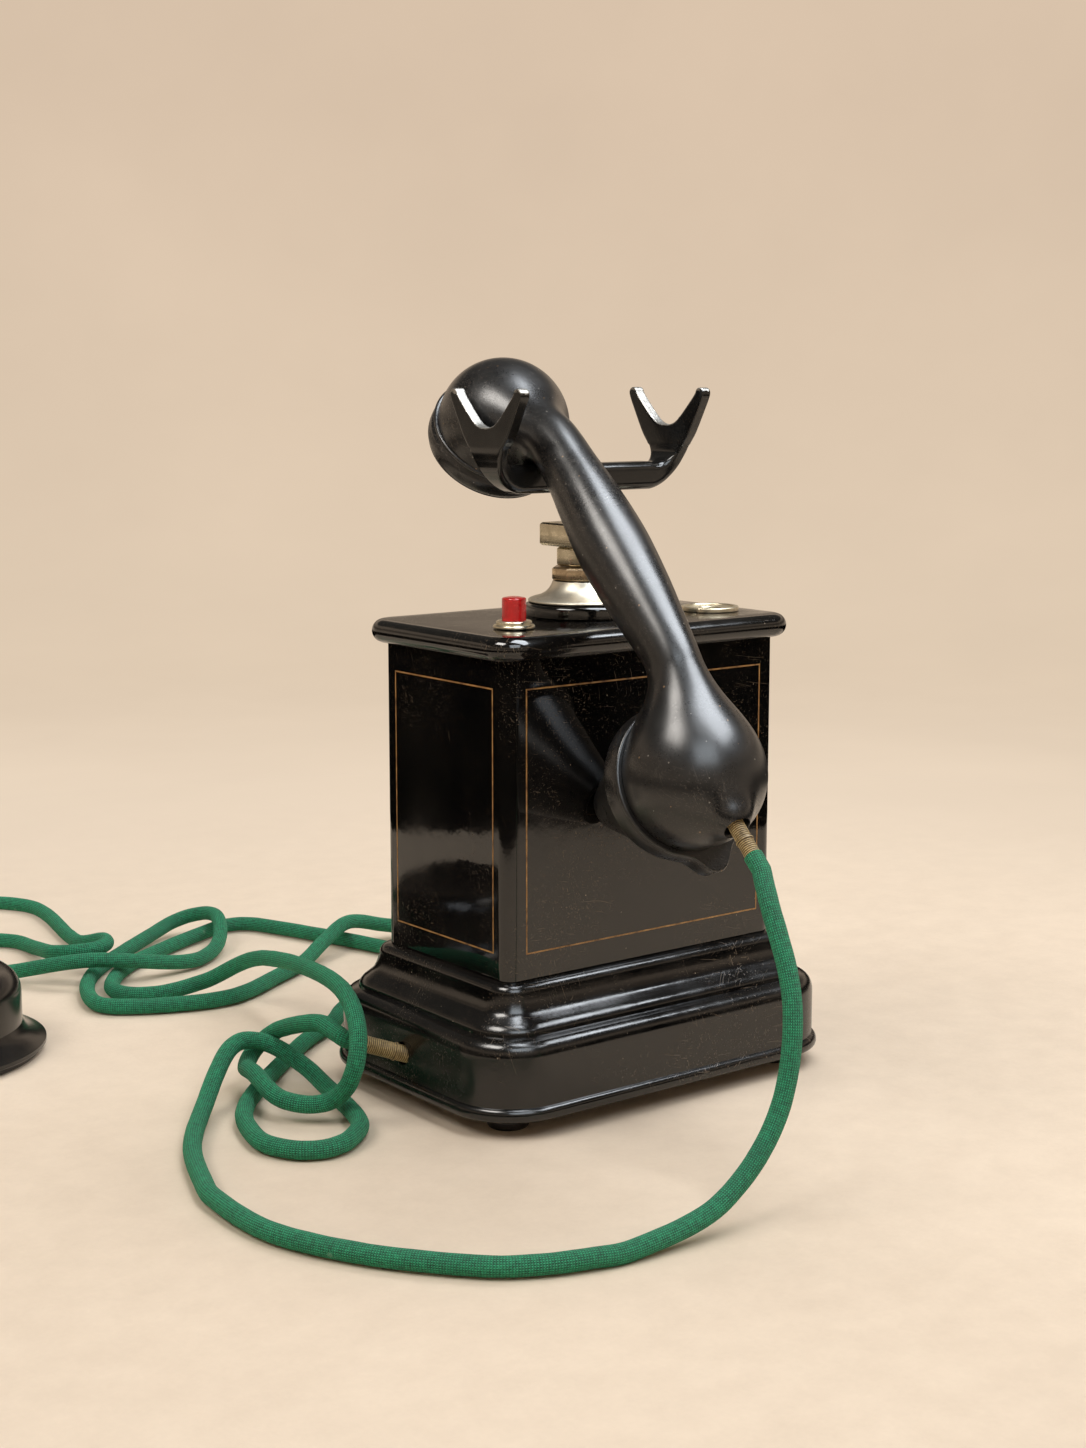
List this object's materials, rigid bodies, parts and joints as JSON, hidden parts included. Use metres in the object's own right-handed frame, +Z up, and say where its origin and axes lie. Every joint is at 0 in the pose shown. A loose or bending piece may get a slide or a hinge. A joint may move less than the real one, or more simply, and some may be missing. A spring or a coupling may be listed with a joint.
{
  "type": "telephone",
  "caption": "Desk telephone: lacquered case on a moulded base, forked cradle on a pillar, handset with cone mouthpiece, braided cords.",
  "frame": {"origin": "middle of the telephone's footprint, at the height of the feet's undersides", "axes": "+Z up; -Y out of the wide side that the handset hangs in front of; +X to the right of it"},
  "size_m": [0.3729, 0.6128, 0.2982],
  "materials": {
    "lacquer": "black lacquered sheet metal, high gloss",
    "enamel": "black enamelled metal, gloss, bright where worn",
    "foot": "black turned ebonite",
    "nickel": "nickel plated, slightly yellowed",
    "steel": "bright steel",
    "brass": "turned brass",
    "red_button": "glossy red",
    "insulator": "black ebonite",
    "wood": "plain beech",
    "winding": "varnished winding",
    "tin": "tinned sheet",
    "ebonite": "black ebonite, satin",
    "braid": "green braided textile",
    "thread": "olive yellow waxed thread",
    "line_box": "black turned ebonite"
  },
  "bodies": {
    "case": {"base_moulding": "lacquer", "body_shell": "lacquer", "lid": "lacquer", "base_plate": "enamel", "plinth": "enamel", "foot_front_left": "foot", "foot_front_right": "foot", "foot_rear_left": "foot", "foot_rear_right": "foot", "bell_flange": "nickel", "collar": "nickel", "column": "nickel", "pillar_nut": "nickel", "button_ring": "nickel", "socket_ring": "nickel", "gong_left": "nickel", "gong_right": "nickel", "switch_bracket": "steel", "hook_spring": "steel", "button_spring": "steel", "ringer_yoke": "steel", "induction_core": "steel", "hook_contact_1": "brass", "hook_contact_2": "brass", "button_contact_1": "brass", "button_contact_2": "brass", "gong_post_left": "brass", "gong_post_right": "brass", "hook_contact_block": "insulator", "button_contact_block": "insulator", "terminal_block": "insulator", "socket_insert": "insulator", "rear_cord_bush": "insulator", "mounting_board": "wood", "ringer_coil_left": "winding", "ringer_coil_right": "winding", "induction_coil": "winding", "condenser": "tin", "handset_cord": "braid", "line_cord": "braid", "line_whipping": "thread", "line_box_base": "line_box", "line_box_cover": "line_box"},
    "cradle": {"cradle": "enamel", "hook_rod": "steel", "rod_stop_nut": "brass"},
    "handset": {"handset_body": "ebonite", "ear_cap": "ebonite", "receiver_diaphragm": "tin", "receiver_magnet": "steel", "mouth_cap": "ebonite", "mouth_horn": "ebonite", "transmitter_capsule": "brass", "handset_whipping": "thread"},
    "button": {"button_cap": "red_button", "button_rod": "brass"},
    "armature": {"ringer_armature": "steel"}
  },
  "joints": [
    {"name": "hook_travel", "type": "slide", "parent": "case", "child": "cradle", "axis": [0, 0, 1], "range_m": [0, 0.006], "stiffness_N_per_m": 120, "springref_m": 0.025, "deforming": ["hook_spring"]},
    {"name": "handset_lift", "type": "slide", "parent": "cradle", "child": "handset", "axis": [0, -0.158, 0.9874], "range_m": [0, 0.12]},
    {"name": "button_press", "type": "slide", "parent": "case", "child": "button", "axis": [0, 0, -1], "range_m": [0, 0.003], "stiffness_N_per_m": 300, "springref_m": -0.002, "deforming": ["button_spring"]},
    {"name": "hammer_swing", "type": "hinge", "parent": "case", "child": "armature", "pos_m": [0, 0.04541, 0.0984], "axis": [0, 1, 0], "range_deg": [-3.5, 3.5], "stiffness_Nm_per_rad": 0.01}
  ]
}
